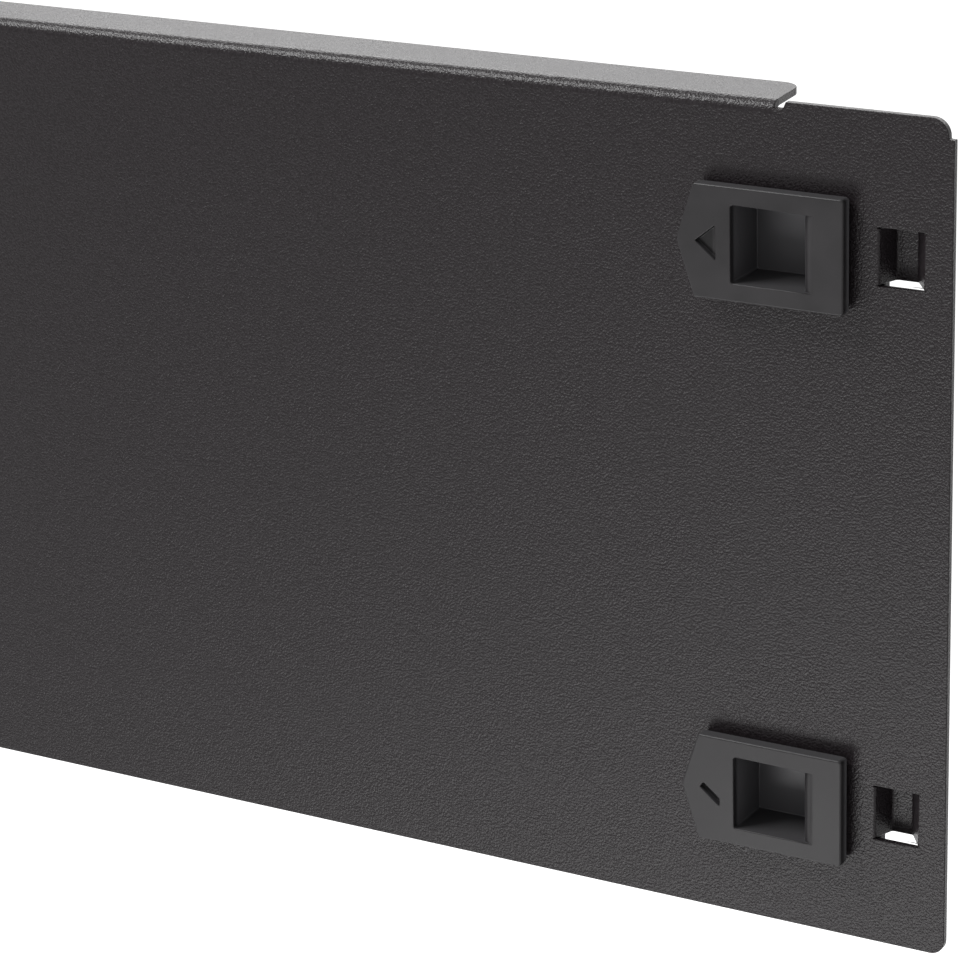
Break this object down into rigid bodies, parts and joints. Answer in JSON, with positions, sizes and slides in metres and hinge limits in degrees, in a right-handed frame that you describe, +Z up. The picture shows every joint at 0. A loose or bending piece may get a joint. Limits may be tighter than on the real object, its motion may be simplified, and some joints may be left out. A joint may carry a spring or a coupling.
{
  "type": "rack blanking panel",
  "caption": "Black folded steel filler panel for an equipment rack, with locating bosses and sprung plastic slide latches near each end.",
  "frame": {"origin": "middle of the plane that seats on the rack rails, which is the rear face of the sheet, midway between the ears and at mid height", "axes": "+X to the right seen from the front, +Y into the rack, +Z up"},
  "size_m": [0.4826, 0.0149, 0.1324],
  "materials": {
    "powder_coated_steel": "black powder coat with a fine leather grain",
    "latch_front_plastic": "moulded, fine satin grain",
    "latch_rear_plastic": "moulded, satin",
    "spring_steel": "drawn wire, zinc plated"
  },
  "bodies": {
    "root": {"panel_sheet": "powder_coated_steel", "latch_spring_upper_right": "spring_steel", "latch_spring_lower_right": "spring_steel", "latch_spring_upper_left": "spring_steel", "latch_spring_lower_left": "spring_steel"},
    "latch_upper_right": {"latch_button_upper_right": "latch_front_plastic", "latch_bolt_upper_right": "latch_rear_plastic"},
    "latch_lower_right": {"latch_button_lower_right": "latch_front_plastic", "latch_bolt_lower_right": "latch_rear_plastic"},
    "latch_upper_left": {"latch_button_upper_left": "latch_front_plastic", "latch_bolt_upper_left": "latch_rear_plastic"},
    "latch_lower_left": {"latch_button_lower_left": "latch_front_plastic", "latch_bolt_lower_left": "latch_rear_plastic"}
  },
  "joints": [
    {"name": "latch_upper_right_slide", "type": "slide", "parent": "root", "child": "latch_upper_right", "axis": [-1, 0, 0], "range_m": [0, 0.004], "stiffness_N_per_m": 450, "springref_m": -0.004, "deforming": ["latch_spring_upper_right"]},
    {"name": "latch_lower_right_slide", "type": "slide", "parent": "root", "child": "latch_lower_right", "axis": [-1, 0, 0], "range_m": [0, 0.004], "stiffness_N_per_m": 450, "springref_m": -0.004, "deforming": ["latch_spring_lower_right"]},
    {"name": "latch_upper_left_slide", "type": "slide", "parent": "root", "child": "latch_upper_left", "axis": [1, 0, 0], "range_m": [0, 0.004], "stiffness_N_per_m": 450, "springref_m": -0.004, "deforming": ["latch_spring_upper_left"]},
    {"name": "latch_lower_left_slide", "type": "slide", "parent": "root", "child": "latch_lower_left", "axis": [1, 0, 0], "range_m": [0, 0.004], "stiffness_N_per_m": 450, "springref_m": -0.004, "deforming": ["latch_spring_lower_left"]}
  ]
}
